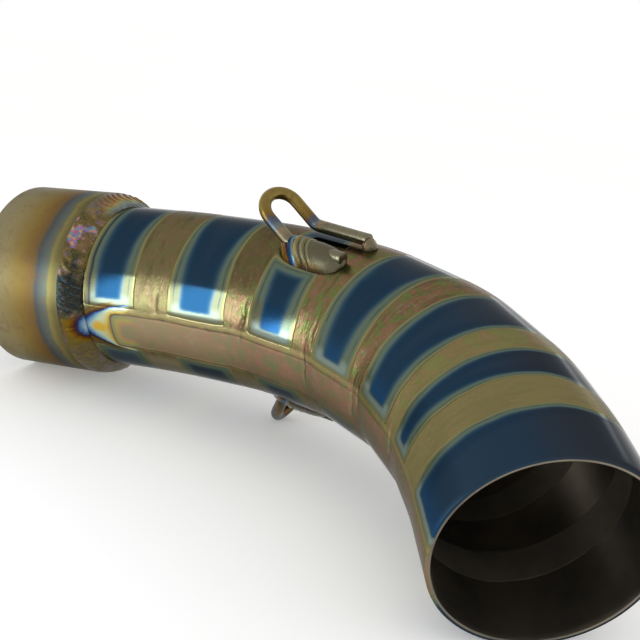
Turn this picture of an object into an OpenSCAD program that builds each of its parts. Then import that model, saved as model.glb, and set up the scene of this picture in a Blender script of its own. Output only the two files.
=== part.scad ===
// Exhaust header pipe: a thin titanium tube bent in steps, with a slip socket
// welded on its inlet end and a wire spring hook above and below.
// Bends lie in the XY plane, the tube turns towards -Y, and the inlet mouth's
// centre is the origin, before the whole part is laid down at its rest angles.

/* [Tube] */
// Outside diameter of the header tube
tube_od = 42.7; // [34:0.1:50]
// Wall of the header tube
tube_wall = 1.0; // [0.6:0.1:2]
// How far a heated band's wall has thickened, inside and outside
band_swell = 0.05; // [0.04:0.01:0.2]
// Straight length from the socket's weld end to the first heated band
lead_len = 20.7; // [12:0.1:40]
// Straight length from the last heated band to the outlet
tail_len = 14.2; // [8:0.1:60]

/* [Heated bands, where the tube turns] */
// Turn at the first heated band, in degrees
turn_a = 4.7; // [2:0.1:12]
// Turn at the second heated band
turn_b = 10.9; // [2:0.1:18]
// Turn at the third heated band
turn_c = 13.8; // [2:0.1:18]
// Turn at the fourth heated band
turn_d = 16.3; // [2:0.1:18]
// Turn at the fifth heated band
turn_e = 10.8; // [2:0.1:16]
// Turn at the last heated band
turn_f = 5.3; // [2:0.1:12]
// Length of the first heated band along the tube's middle
hot_a = 11.8; // [9:0.1:14]
// Length of the second heated band
hot_b = 11.0; // [9:0.1:14]
// Length of the third heated band
hot_c = 10.6; // [9:0.1:14]
// Length of the fourth heated band
hot_d = 9.5; // [8.5:0.1:14]
// Length of the fifth heated band
hot_e = 7.8; // [7.5:0.1:14]
// Length of the last heated band
hot_f = 9.4; // [8:0.1:14]

/* [Straight stretches between heated bands] */
// First to second band
cold_ab = 16.3; // [8:0.1:24]
// Second to third band
cold_bc = 14.1; // [8:0.1:24]
// Third to fourth band
cold_cd = 14.2; // [8:0.1:24]
// Fourth to fifth band
cold_de = 13.6; // [8:0.1:24]
// Fifth to last band
cold_ef = 8.6; // [6:0.1:24]

/* [Inlet socket] */
// How far the slip socket stands out past the tube, all round
socket_step = 3.35; // [1.6:0.05:7]
// Wall of the slip socket round its bore
socket_wall = 0.8; // [0.6:0.1:1.2]
// Depth of the bore that the mating pipe slides into
socket_depth = 20; // [14:0.5:40]
// Length of the step that is bored to the tube and welded to it
seat_len = 5; // [3:0.5:10]
// Chamfer on the socket's outer edge
socket_chamfer = 0.3; // [0.1:0.05:0.35]

/* [Socket weld] */
// Length of the weld along the tube
ring_len = 5.8; // [3:0.1:8]
// Ripples round the weld
ring_ripples = 68; // [40:1:90]
// Roundness of the weld's crown, from 1, full, to 2, flat
ring_round = 1.5; // [1:0.1:2]
// Height of a weld ripple
ripple_h = 0.28; // [0.1:0.02:0.5]

/* [Spring hooks] */
// Wire diameter
wire_d = 3.0; // [2:0.1:4]
// Half of the distance between the hook's two legs, middle to middle
hook_half = 4.6; // [3.6:0.1:7]
// Radius of the bend between a leg and the loop, at the wire's middle
hook_bend_r = 3.0; // [2.2:0.1:4]
// Length of a leg, from its bend to its cut end
leg_len = 16.4; // [10:0.1:22]
// Gap between the legs and the tube where they cross its highest line
leg_gap = 0.45; // [0.3:0.05:1.5]
// Turn of the hooks away from the tube's own direction, in degrees
hook_yaw = 3; // [-8:1:8]
// Roll of the hooks about their legs, which lowers the front leg, in degrees
hook_roll = 3; // [0:0.5:3]
// Distance of the upper hook's bend from the socket's weld end
upper_hook_at = 62.3; // [50:0.1:70]
// Distance of the lower hook's bend from the socket's weld end
lower_hook_at = 54.6; // [46:0.1:70]
// Sideways place of the upper hook, towards the outside of the bend
upper_hook_side = 0.5; // [-3:0.1:3]
// Sideways place of the lower hook, towards the outside of the bend
lower_hook_side = -2.4; // [-4:0.1:4]
// Straight length of the upper loop, from its bend to the round end
upper_loop_len = 7.4; // [4:0.1:14]
// Straight length of the lower loop
lower_loop_len = 5.2; // [4:0.1:14]
// Angle that the upper loop rises from the tube, in degrees
upper_loop_rise = 43; // [30:1:80]
// Angle that the lower loop rises from the tube
lower_loop_rise = 61; // [30:1:80]

/* [Hook welds] */
// Reach of the long weld behind the hook's bend
bead_behind = 2.7; // [1:0.1:4]
// Reach of the long weld past the front leg's cut end
bead_beyond = 0.4; // [0.2:0.1:2]
// Spread of the long weld outside the front leg
bead_skirt = 4.4; // [3:0.1:7]
// Spread of the long weld inside the front leg, past its wire
bead_inner = 1.3; // [0.6:0.1:2.5]
// Metal that covers the front leg
bead_cover = 0.3; // [0.1:0.05:0.8]
// Ripple pitch on the long weld
bead_pitch = 1.9; // [1.4:0.1:3]
// How far each ripple's middle runs ahead of its ends
bead_bow = 0.9; // [0:0.1:2]
// Share of the front leg that the ripples reach along
bead_rippled = 0.4; // [0.2:0.05:0.9]
// Width of the tack under the rear leg's end
tack_w = 4.4; // [3:0.1:6]
// Length of the tack under the rear leg's end
tack_len = 3.0; // [2:0.1:5]
// Height that the tack climbs up the rear leg's wire, as a share of its radius
tack_climb = 0.3; // [0:0.1:0.8]

/* [Rest] */
// Roll of the part about its own X axis as it lies, in degrees
rest_roll = 18.2; // [-30:0.1:30]
// Pitch of the part about its own Y axis as it lies
rest_pitch = -6.3; // [-30:0.1:30]

/* [Hidden] */
$fn = 96;
wire_fn = 32;
slack = 0.02;             // clearance that keeps welded pieces from overlapping
lap = 0.2;                // how far straights run into the turns that they join
wire_swell = 0.02;        // how much thicker a bent wire is than a straight one
edge_h = 0.12;            // thickness of a weld at its toe
tube_r = tube_od / 2;
skin_r = tube_r + band_swell;
wire_r = wire_d / 2;
socket_len = socket_depth + seat_len;
socket_r = tube_r + socket_step;

hot = [hot_a, hot_b, hot_c, hot_d, hot_e, hot_f];
turn = [turn_a, turn_b, turn_c, turn_d, turn_e, turn_f];
cold = [lead_len, cold_ab, cold_bc, cold_cd, cold_de, cold_ef, tail_len];

// The tube's path in plan. Headings grow towards -Y.
function ahead(a) = [cos(a), -sin(a)];
function outward(a) = [sin(a), cos(a)];
function heading(i) = i == 0 ? 0 : heading(i - 1) + turn[i - 1];
function bend_r(i) = hot[i] * 180 / (PI * turn[i]);
function cold_end(i) = cold_start(i) + cold[i] * ahead(heading(i));
function cold_start(i) = i == 0
    ? [socket_len, 0]
    : cold_end(i - 1) + bend_r(i - 1) * (outward(heading(i)) - outward(heading(i - 1)));
function bend_centre(i) = cold_end(i) - bend_r(i) * outward(heading(i));
function length_to(i) = i == 0 ? 0 : length_to(i - 1) + cold[i - 1] + hot[i - 1];

// Section that holds a distance from the socket's weld end
function section_at(s, i = 0) =
    i == len(hot) || s < length_to(i + 1) ? i : section_at(s, i + 1);
function heading_at(s) = let (i = section_at(s), past = s - length_to(i) - cold[i])
    i < len(hot) && past > 0 ? heading(i) + past / hot[i] * turn[i] : heading(i);
function point_at(s) = let (i = section_at(s), past = s - length_to(i) - cold[i])
    i < len(hot) && past > 0
        ? bend_centre(i) + bend_r(i) * outward(heading_at(s))
        : cold_start(i) + (s - length_to(i)) * ahead(heading(i));

// Distance of a plan point from the tube's middle line, and the tube's height there
far_off = 1000;
function off_cold(p, i) = let (q = p - cold_start(i), along = q * ahead(heading(i)))
    along < 0 || along > cold[i] ? far_off : abs(q * outward(heading(i)));
function off_hot(p, i) = let (q = p - bend_centre(i), a = atan2(q[0], q[1]))
    a < heading(i) || a > heading(i + 1) ? far_off : abs(norm(q) - bend_r(i));
function off_line(p) = min(concat(
    [for (i = [0:len(cold) - 1]) off_cold(p, i)],
    [for (i = [0:len(hot) - 1]) off_hot(p, i)]));
function tube_top(p) = sqrt(pow(skin_r, 2) - pow(off_line(p), 2));

// Runs from -1 to 1 over the rows of a sheet
function span(i, rows) = 2 * i / (rows - 1) - 1;

// Faces of a closed sheet whose top and bottom are grids of points
function sheet_faces(n, m) = let (b = n * m) concat(
    [for (i = [0:n - 2]) for (j = [0:m - 2]) let (k = i * m + j)
        each [[k, k + 1, k + m + 1], [k, k + m + 1, k + m]]],
    [for (i = [0:n - 2]) for (j = [0:m - 2]) let (k = b + i * m + j)
        each [[k, k + m + 1, k + 1], [k, k + m, k + m + 1]]],
    [for (i = [0:n - 2]) let (k = i * m)
        each [[k, k + m, b + k], [k + m, b + k + m, b + k]]],
    [for (i = [0:n - 2]) let (k = i * m + m - 1)
        each [[k, b + k, k + m], [k + m, b + k, b + k + m]]],
    [for (j = [0:m - 2]) each [[j, b + j, j + 1], [j + 1, b + j, b + j + 1]]],
    [for (j = [0:m - 2]) let (k = (n - 1) * m + j)
        each [[k, k + 1, b + k], [k + 1, b + k + 1, b + k]]]);

// The whole part is turned to the angles at which it comes to rest
module laid_down() {
    rotate([rest_roll, rest_pitch, 0]) children();
}

module tube_section(swell = 0) {
    difference() {
        circle(r = tube_r + swell);
        circle(r = tube_r - tube_wall - swell);
    }
}

// Header tube: straight stretches joined by short turns in one plane
module header_tube() {
    color("#3c4a6e") laid_down() {
        for (i = [0:len(cold) - 1]) {
            before = i == 0 ? seat_len : lap;
            after = i == len(hot) ? 0 : lap;
            translate(cold_start(i) - before * ahead(heading(i)))
                rotate([0, 0, -heading(i)]) rotate([0, 90, 0])
                    linear_extrude(before + cold[i] + after) tube_section();
        }
        for (i = [0:len(hot) - 1])
            translate(bend_centre(i)) rotate([0, 0, 90 - heading(i + 1)])
                rotate_extrude(angle = turn[i]) translate([bend_r(i), 0]) tube_section(band_swell);
    }
}

// Inlet socket: a turned sleeve whose bore steps down to the tube
module inlet_socket() {
    bore_r = socket_r - socket_wall;
    seat_r = tube_r + slack;
    c = socket_chamfer;
    profile = [
        [bore_r, 0], [socket_r - c, 0], [socket_r, c], [socket_r, socket_len],
        [seat_r, socket_len], [seat_r, socket_depth], [bore_r, socket_depth]
    ];
    color("#8a7f68") laid_down() rotate([0, 90, 0]) rotate_extrude() polygon(profile);
}

// Socket weld: a fillet ring whose ripples lie like a fallen stack of coins
module socket_weld() {
    phases = 3;               // steps of one ripple round the ring
    arc = 6;                  // steps over the crown
    rows = arc + 2;
    steps = ring_ripples * phases;
    seat = (tube_r + slack) / cos(180 / steps);
    leg = socket_r - seat;
    start = socket_len + slack;
    function wave(k, u) = ripple_h * sin(180 * u) * ((k + round(2 * u)) % phases - 1) / 2;
    function crown(k, u) = [
        start + ring_len * pow(sin(90 * u), ring_round),
        seat + leg * pow(cos(90 * u), ring_round) + wave(k, u)];
    function section(k) = concat([[start, seat]], [for (j = [0:arc]) crown(k, j / arc)]);
    points = [for (k = [0:steps - 1]) for (q = section(k)) let (a = 360 * k / steps)
        [q[0], q[1] * cos(a), q[1] * sin(a)]];
    faces = [for (k = [0:steps - 1]) for (j = [0:rows - 1])
        let (a = k * rows, b = (k + 1) % steps * rows, next = (j + 1) % rows)
        each [[a + j, a + next, b + next], [a + j, b + next, b + j]]];
    color("#5a5138") laid_down() polyhedron(points, faces);
}

// Height of a hook's wire above the tube's middle
function hook_z() = sqrt(pow(tube_r + wire_r, 2) - pow(hook_half, 2)) + leg_gap;

// Bent wire of one hook, on its own axes: legs along X, loop rising backwards
module hook_wire(loop_len, rise, grow = 0) {
    trim = hook_bend_r * tan(rise / 2);
    r = wire_r + grow;
    for (side = [-1, 1]) {
        translate([trim - lap, side * hook_half, 0]) rotate([0, 90, 0])
            cylinder(r = r, h = leg_len - trim + lap + grow, $fn = wire_fn);
        translate([trim, side * hook_half, hook_bend_r]) rotate([90, 0, 0])
            rotate([0, 0, -90 - rise]) rotate_extrude(angle = rise)
                translate([hook_bend_r, 0]) circle(r = r + wire_swell, $fn = wire_fn);
        translate([0, side * hook_half, 0]) rotate([0, -90 + rise, 0])
            translate([0, 0, trim - lap])
                cylinder(r = r, h = loop_len - trim + 2 * lap, $fn = wire_fn);
    }
    translate([-loop_len * cos(rise), 0, loop_len * sin(rise)]) rotate([0, rise - 180, 0])
        rotate([0, 0, -90]) rotate_extrude(angle = 180)
            translate([hook_half, 0]) circle(r = r + wire_swell, $fn = wire_fn);
}

// Height of one leg's wire, -1 for the front leg and 1 for the rear one
function leg_z(which) = hook_z() + which * hook_half * sin(hook_roll);

// Plan point under a place on a hook's own axes
function hook_plan(at, side, u, v) =
    point_at(at) + side * outward(heading_at(at))
    + u * ahead(heading_at(at) + hook_yaw) + v * outward(heading_at(at) + hook_yaw);

// Puts children on a hook's axes
module on_hook(at, side) {
    translate(concat(hook_plan(at, side, 0, 0), hook_z()))
        rotate([hook_roll, 0, -heading_at(at) - hook_yaw]) children();
}

// Long weld: it wraps the front leg, runs down to the tube and is rippled
module long_weld(at, side, loop_len, rise) {
    rows = 37;
    columns = 12;
    blunt = 0.02;             // keeps the weld's two ends from closing to a point
    plump = 0.55;             // power of the crown, from 0.5, round, to 1, sharp
    weld_len = bead_behind + leg_len + bead_beyond;
    function spread(t) = sqrt(max(1 - pow(abs(t), 3), blunt));
    function across(w) = -hook_half + w * (w < 0 ? bead_skirt : wire_r + bead_inner);
    function along(t) = weld_len * (t + 1) / 2 - bead_behind;
    function wave(u, w) = let (q = (u - bead_bow * w * w) / bead_pitch)
        u > bead_rippled * leg_len ? 0 : ripple_h * (1 - 2 * abs(q - floor(q) - 0.5));
    function plan(t, w) = hook_plan(at, side, along(t), across(w * spread(t)));
    function ridge(t) = leg_z(-1) + wire_r + bead_cover
        - tube_top(hook_plan(at, side, along(t), -hook_half));
    function crown(t, w) = (ridge(t) + wave(along(t), w)) * spread(t) * pow(1 - w * w, plump);
    function skin(t, w, lift) = let (p = plan(t, w)) [p[0], p[1], tube_top(p) + lift];
    top = [for (i = [0:rows - 1]) for (j = [0:columns - 1])
        let (t = span(i, rows), w = span(j, columns)) skin(t, w, edge_h + crown(t, w))];
    foot = [for (i = [0:rows - 1]) for (j = [0:columns - 1])
        skin(span(i, rows), span(j, columns), slack)];
    color("#6e6350") difference() {
        polyhedron(concat(top, foot), sheet_faces(rows, columns));
        on_hook(at, side) hook_wire(loop_len, rise, slack);
    }
}

// Tack weld: a small lump between the rear leg's cut end and the tube
module tack_weld(at, side, loop_len, rise) {
    rows = 9;
    columns = 8;
    blunt = 0.05;
    function along(t) = leg_len + t * tack_len / 2;
    function across(t, w) = hook_half + w * tack_w / 2 * sqrt(1 + blunt - t * t);
    function plan(t, w) = hook_plan(at, side, along(t), across(t, w));
    function lump(t, w) = sqrt((1 - t * t) * (1 - w * w));
    climb = leg_z(1) + tack_climb * wire_r - tube_top(plan(0, 0));
    function skin(t, w, lift) = let (p = plan(t, w)) [p[0], p[1], tube_top(p) + lift];
    top = [for (i = [0:rows - 1]) for (j = [0:columns - 1])
        let (t = span(i, rows), w = span(j, columns)) skin(t, w, edge_h + climb * lump(t, w))];
    foot = [for (i = [0:rows - 1]) for (j = [0:columns - 1])
        skin(span(i, rows), span(j, columns), slack)];
    color("#7a7466") difference() {
        polyhedron(concat(top, foot), sheet_faces(rows, columns));
        on_hook(at, side) hook_wire(loop_len, rise, slack);
    }
}

module upper_spring_hook() {
    color("#b7a06a") laid_down() on_hook(upper_hook_at, upper_hook_side)
        hook_wire(upper_loop_len, upper_loop_rise);
}

module upper_hook_long_weld() {
    laid_down() long_weld(upper_hook_at, upper_hook_side, upper_loop_len, upper_loop_rise);
}

module upper_hook_tack_weld() {
    laid_down() tack_weld(upper_hook_at, upper_hook_side, upper_loop_len, upper_loop_rise);
}

module lower_spring_hook() {
    color("#6b5c3a") laid_down() mirror([0, 0, 1]) on_hook(lower_hook_at, lower_hook_side)
        hook_wire(lower_loop_len, lower_loop_rise);
}

module lower_hook_long_weld() {
    laid_down() mirror([0, 0, 1])
        long_weld(lower_hook_at, lower_hook_side, lower_loop_len, lower_loop_rise);
}

module lower_hook_tack_weld() {
    laid_down() mirror([0, 0, 1])
        tack_weld(lower_hook_at, lower_hook_side, lower_loop_len, lower_loop_rise);
}

header_tube();
inlet_socket();
socket_weld();
upper_spring_hook();
upper_hook_long_weld();
upper_hook_tack_weld();
lower_spring_hook();
lower_hook_long_weld();
lower_hook_tack_weld();
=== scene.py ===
# Exhaust header pipe: bronze and blue heat bands on a stepped bend, a welded
# socket on the inlet end and two wire spring hooks. All sizes are in millimetres
# in the dictionaries, and metres once they are built.
import math
from types import SimpleNamespace

import bpy
from mathutils import Matrix, Vector


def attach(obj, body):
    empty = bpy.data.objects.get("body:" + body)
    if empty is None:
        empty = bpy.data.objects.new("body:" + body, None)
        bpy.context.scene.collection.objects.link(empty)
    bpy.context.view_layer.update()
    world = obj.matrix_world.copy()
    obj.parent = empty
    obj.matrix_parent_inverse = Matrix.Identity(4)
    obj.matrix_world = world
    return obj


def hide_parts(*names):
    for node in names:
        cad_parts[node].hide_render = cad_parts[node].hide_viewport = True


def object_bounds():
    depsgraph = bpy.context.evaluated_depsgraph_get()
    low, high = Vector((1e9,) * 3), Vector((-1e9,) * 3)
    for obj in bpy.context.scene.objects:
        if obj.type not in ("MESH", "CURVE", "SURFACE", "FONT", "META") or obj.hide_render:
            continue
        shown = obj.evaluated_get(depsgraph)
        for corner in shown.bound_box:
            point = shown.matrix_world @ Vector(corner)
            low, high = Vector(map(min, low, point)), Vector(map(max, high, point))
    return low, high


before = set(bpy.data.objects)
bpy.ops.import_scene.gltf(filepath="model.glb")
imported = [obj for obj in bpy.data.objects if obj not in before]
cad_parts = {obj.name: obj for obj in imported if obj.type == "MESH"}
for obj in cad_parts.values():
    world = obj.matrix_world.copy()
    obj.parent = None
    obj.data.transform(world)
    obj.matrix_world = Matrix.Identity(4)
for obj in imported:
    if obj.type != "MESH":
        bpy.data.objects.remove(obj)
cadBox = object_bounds()
mm = 0.001
print("frame loaded")

# The pipe is drawn with its bends flat, then laid down as the CAD lays it
rest = {"roll": 18.2, "pitch": -6.3}
layDown = (Matrix.Rotation(math.radians(rest["pitch"]), 4, "Y")
           @ Matrix.Rotation(math.radians(rest["roll"]), 4, "X"))

# Camera: its place and its three axes, found against the flat pipe
cameraView = {
    "place": (182.97, -189.72, 123.40),
    "right": (0.914, 0.391, -0.110),
    "up": (-0.116, 0.511, 0.852),
    "lens": 55.24,
}


def addCamera(view):
    right = Vector(view["right"]).normalized()
    up = Vector(view["up"])
    up = (up - up.dot(right) * right).normalized()
    turned = Matrix((right, up, right.cross(up))).transposed().to_4x4()
    camera = bpy.data.objects.new("camera", bpy.data.cameras.new("camera"))
    bpy.context.scene.collection.objects.link(camera)
    camera.matrix_world = (layDown @ Matrix.Translation(Vector(view["place"]) * mm)
                           @ turned)
    camera.data.lens = view["lens"]
    camera.data.sensor_width = 36
    camera.data.clip_start = 0.005
    bpy.context.scene.camera = camera


addCamera(cameraView)
print("camera placed")


# Small helpers for building
def clearSelection():
    if bpy.context.object and bpy.context.object.mode != "OBJECT":
        bpy.ops.object.mode_set(mode="OBJECT")
    bpy.ops.object.select_all(action="DESELECT")


def named(name):
    piece = bpy.context.object
    piece.name = name
    piece.data.name = name
    return piece


def editing(piece):
    # into edit mode with the whole piece picked, by its vertices
    clearSelection()
    piece.select_set(True)
    bpy.context.view_layer.objects.active = piece
    bpy.ops.object.mode_set(mode="EDIT")
    bpy.ops.mesh.select_mode(type="VERT")
    bpy.ops.mesh.select_all(action="SELECT")


def selectWhere(piece, test):
    # picks the vertices whose place passes the test, while in edit mode
    bpy.ops.object.mode_set(mode="OBJECT")
    for polygon in piece.data.polygons:
        polygon.select = False
    for edge in piece.data.edges:
        edge.select = False
    for vertex in piece.data.vertices:
        vertex.select = test(vertex.co)
    bpy.ops.object.mode_set(mode="EDIT")
    bpy.ops.mesh.select_mode(type="VERT")


def applied(piece, kind, **settings):
    modifier = piece.modifiers.new(kind.lower(), kind)
    for key, value in settings.items():
        setattr(modifier, key, value)
    clearSelection()
    piece.select_set(True)
    bpy.context.view_layer.objects.active = piece
    bpy.ops.object.modifier_apply(modifier=modifier.name)


def closed(piece, merge=0.00001):
    # seams merged and faces turned outwards
    editing(piece)
    bpy.ops.mesh.remove_doubles(threshold=merge)
    bpy.ops.mesh.normals_make_consistent(inside=False)
    bpy.ops.object.mode_set(mode="OBJECT")


def drawLine(name, points):
    # an open line, drawn point after point by extruding its last point
    clearSelection()
    bpy.ops.mesh.primitive_plane_add(size=mm, location=(0, 0, 0))
    piece = named(name)
    editing(piece)
    bpy.ops.mesh.merge(type="CENTER")
    bpy.ops.transform.translate(value=Vector(points[0]) * mm)
    for before, after in zip(points, points[1:]):
        step = (Vector(after) - Vector(before)) * mm
        bpy.ops.mesh.extrude_region_move(TRANSFORM_OT_translate={"value": step})
    bpy.ops.object.mode_set(mode="OBJECT")
    return piece


def turnedRound(piece, steps):
    # a full turn about the pipe's inlet axis
    editing(piece)
    bpy.ops.mesh.spin(steps=steps, angle=2 * math.pi, center=(0, 0, 0), axis=(1, 0, 0))
    bpy.ops.object.mode_set(mode="OBJECT")
    closed(piece)


def drawRod(name, radius, sides, turned, moves):
    # a circle swept through straights and turns; the last ring stays selected
    clearSelection()
    bpy.ops.mesh.primitive_circle_add(vertices=sides, radius=radius * mm,
                                      location=(0, 0, 0), rotation=turned)
    piece = named(name)
    bpy.ops.object.transform_apply(location=False, rotation=True, scale=False)
    editing(piece)
    for move in moves:
        if "to" in move:
            step = Vector(move["to"]) * mm / move["steps"]
            for _ in range(move["steps"]):
                bpy.ops.mesh.extrude_region_move(TRANSFORM_OT_translate={"value": step})
        elif "start" in move:
            bpy.ops.transform.translate(value=Vector(move["start"]) * mm)
        else:
            # with no window, spin turns the other way
            bpy.ops.mesh.spin(steps=move["steps"], angle=-math.radians(move["turn"]),
                              center=Vector(move["centre"]) * mm, axis=move["axis"])
    bpy.ops.object.mode_set(mode="OBJECT")
    return piece


def bevelSharpEdges(width):
    # in edit mode: every corner sharper than 60 degrees is rounded off
    bpy.ops.mesh.select_mode(type="EDGE")
    bpy.ops.mesh.select_all(action="DESELECT")
    bpy.ops.mesh.edges_select_sharp(sharpness=math.radians(60))
    bpy.ops.mesh.bevel(offset=width * mm, segments=2)
    bpy.ops.object.mode_set(mode="OBJECT")


def weighted(piece, name, weight):
    # a vertex group whose weights come from each vertex's place in millimetres
    group = piece.vertex_groups.new(name=name)
    for vertex in piece.data.vertices:
        group.add([vertex.index], weight(vertex.co / mm), "REPLACE")


def noted(piece, name, place):
    # a place along the piece, kept on each vertex for its finish to follow
    notes = piece.data.attributes.new(name, "FLOAT_VECTOR", "POINT")
    for vertex in piece.data.vertices:
        notes.data[vertex.index].vector = place(vertex.co / mm)


def finished(piece, node, finish, angle=35):
    # laid down with its place in its mesh, smoothed, and given to the frame
    piece.data.transform(layDown @ piece.matrix_world)
    piece.matrix_world = Matrix()
    piece.data.materials.clear()
    piece.data.materials.append(finish)
    clearSelection()
    piece.select_set(True)
    bpy.context.view_layer.objects.active = piece
    bpy.ops.object.shade_smooth_by_angle(angle=math.radians(angle))
    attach(piece, "root")
    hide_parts(node)
    print("made", piece.name, len(piece.data.polygons), "faces")


# Small helpers for finishes
def paint(code):
    # a colour as it is seen, made linear
    parts = [int(code[i:i + 2], 16) / 255 for i in (1, 3, 5)]
    return tuple(p / 12.92 if p <= 0.04045 else ((p + 0.055) / 1.055) ** 2.4
                 for p in parts) + (1,)


class Value:
    # one number that varies over a surface, with plain arithmetic
    def __init__(self, finish, socket):
        self.finish = finish
        self.socket = socket

    def maths(self, operation, *others):
        return self.finish.maths(operation, self, *others)

    def __add__(self, other):
        return self.maths("ADD", other)

    def __sub__(self, other):
        return self.maths("SUBTRACT", other)

    def __mul__(self, other):
        return self.maths("MULTIPLY", other)

    def __truediv__(self, other):
        return self.maths("DIVIDE", other)

    def __rsub__(self, other):
        return self.finish.maths("SUBTRACT", other, self)

    def __neg__(self):
        return self * -1

    def __abs__(self):
        return self.maths("ABSOLUTE")

    def least(self, other):
        return self.maths("MINIMUM", other)

    def most(self, other):
        return self.maths("MAXIMUM", other)

    def softLeast(self, other, reach):
        return self.maths("SMOOTH_MIN", other, reach)

    def ease(self, low, high, bottom=0.0, top=1.0):
        node = self.finish.add("ShaderNodeMapRange", {"interpolation_type": "SMOOTHSTEP"},
                               {0: self, 1: low, 2: high, 3: bottom, 4: top})
        return Value(self.finish, node.outputs[0])

    def fade(self, low, high):
        return self.ease(low, high, 1, 0)

    def between(self, riseFrom, riseTo, fallFrom, fallTo):
        # 0, then 1 in a zone, then 0 again
        return self.ease(riseFrom, riseTo) * self.fade(fallFrom, fallTo)

    def line(self, middle, width):
        # 1 on a thin line, fading to 0 at its edges
        return abs(self - middle).fade(0, width)

    __radd__ = __add__
    __rmul__ = __mul__


class Finish:
    def __init__(self, name, **constants):
        self.material = bpy.data.materials.new(name)
        self.material.use_nodes = True
        self.tree = self.material.node_tree
        self.shader = self.tree.nodes["Principled BSDF"]
        for key, value in constants.items():
            self.shader.inputs[key.replace("_", " ")].default_value = value

    def add(self, kind, settings=None, inputs=None):
        node = self.tree.nodes.new(kind)
        for key, value in (settings or {}).items():
            if key == "stops":
                ramp = node.color_ramp
                while len(ramp.elements) < len(value):
                    ramp.elements.new(1)
                for element, (place, colour) in zip(ramp.elements, value):
                    element.position = place
                    element.color = paint(colour)
            else:
                setattr(node, key, value)
        for key, value in (inputs or {}).items():
            if isinstance(value, Value):
                self.tree.links.new(value.socket, node.inputs[key])
            elif isinstance(value, bpy.types.NodeSocket):
                self.tree.links.new(value, node.inputs[key])
            else:
                node.inputs[key].default_value = value
        return node

    def maths(self, operation, *numbers):
        node = self.add("ShaderNodeMath", {"operation": operation}, dict(enumerate(numbers)))
        return Value(self, node.outputs[0])

    def objectPlace(self):
        return self.add("ShaderNodeTexCoord").outputs["Object"]

    def placeInMillimetres(self):
        return self.add("ShaderNodeMapping", {"vector_type": "POINT"},
                        {"Vector": self.objectPlace(), "Scale": (1 / mm, 1 / mm, 1 / mm)}
                        ).outputs[0]

    def notedPlace(self, name):
        return self.add("ShaderNodeAttribute", {"attribute_name": name}).outputs["Vector"]

    def split(self, place):
        node = self.add("ShaderNodeSeparateXYZ", None, {0: place})
        return [Value(self, socket) for socket in node.outputs]

    def joined(self, x, y, z):
        return self.add("ShaderNodeCombineXYZ", None, {0: x, 1: y, 2: z}).outputs[0]

    def noise(self, place, scale, detail=2.0, rough=0.5, warp=0.0):
        node = self.add("ShaderNodeTexNoise", None,
                        {"Vector": place, "Scale": scale, "Detail": detail,
                         "Roughness": rough, "Distortion": warp})
        return Value(self, node.outputs[0])

    def crystals(self, place, scale, stops):
        # small cells, each with one colour of its own
        cells = self.add("ShaderNodeTexVoronoi", None, {"Vector": place, "Scale": scale})
        return self.ramp(self.split(cells.outputs["Color"])[0], stops)

    def ramp(self, value, stops):
        return self.add("ShaderNodeValToRGB", {"stops": stops}, {0: value}).outputs[0]

    def blend(self, factor, first, second):
        node = self.add("ShaderNodeMix", {"data_type": "RGBA"},
                        {0: factor, 6: first, 7: second})
        return node.outputs[2]

    def over(self, colour, amount, code):
        # a plain colour laid over another
        return self.blend(amount, colour, paint(code))

    def relief(self, height, distance, strength):
        node = self.add("ShaderNodeBump", None,
                        {"Strength": strength, "Distance": distance * mm, "Height": height})
        self.tree.links.new(node.outputs[0], self.shader.inputs["Normal"])

    def set(self, name, value):
        socket = value.socket if isinstance(value, Value) else value
        self.tree.links.new(socket, self.shader.inputs[name])


# Header tube
header = {
    "outside": 42.7, "wall": 1.0, "swell": 0.05, "sides": 176,
    "cold": (20.7, 16.3, 14.1, 14.2, 13.6, 8.6, 14.2),
    "hot": (11.8, 11.0, 10.6, 9.5, 7.8, 9.4),
    "turn": (4.7, 10.9, 13.8, 16.3, 10.8, 5.3),
    "coldStep": 1.6, "hotStep": 0.7,
    "creaseDepth": 0.45, "creaseWidth": 0.55, "creaseWave": 0.5,
    "rimBevel": 0.12,
}
socket = {
    "outside": 49.4, "wall": 0.8, "depth": 20.0, "seat": 5.0, "edge": 0.3,
    "clearance": 0.02, "sides": 192,
    "outsideRings": (1, 3, 6, 9, 12, 15, 18, 21, 24), "boreRings": (15, 10, 5),
}
socketLength = socket["depth"] + socket["seat"]
skin = header["outside"] / 2


def ahead(degrees):
    a = math.radians(degrees)
    return Vector((math.cos(a), -math.sin(a), 0))


def outward(degrees):
    a = math.radians(degrees)
    return Vector((math.sin(a), math.cos(a), 0))


def pathSections():
    # the tube's middle line, one entry for each straight and each turn
    sections, place, heading, length = [], Vector((socketLength, 0, 0)), 0.0, 0.0
    for i, cold in enumerate(header["cold"]):
        sections.append({"kind": "cold", "start": place, "heading": heading,
                         "from": length, "long": cold})
        place = place + cold * ahead(heading)
        length += cold
        if i < len(header["hot"]):
            hot, turn = header["hot"][i], header["turn"][i]
            radius = hot / math.radians(turn)
            centre = place - radius * outward(heading)
            sections.append({"kind": "hot", "centre": centre, "radius": radius,
                             "heading": heading, "turn": turn, "from": length, "long": hot})
            heading += turn
            place = centre + radius * outward(heading)
            length += hot
    return sections


path = pathSections()
hotBands = [(part["from"], part["from"] + part["long"]) for part in path
            if part["kind"] == "hot"]


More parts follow.
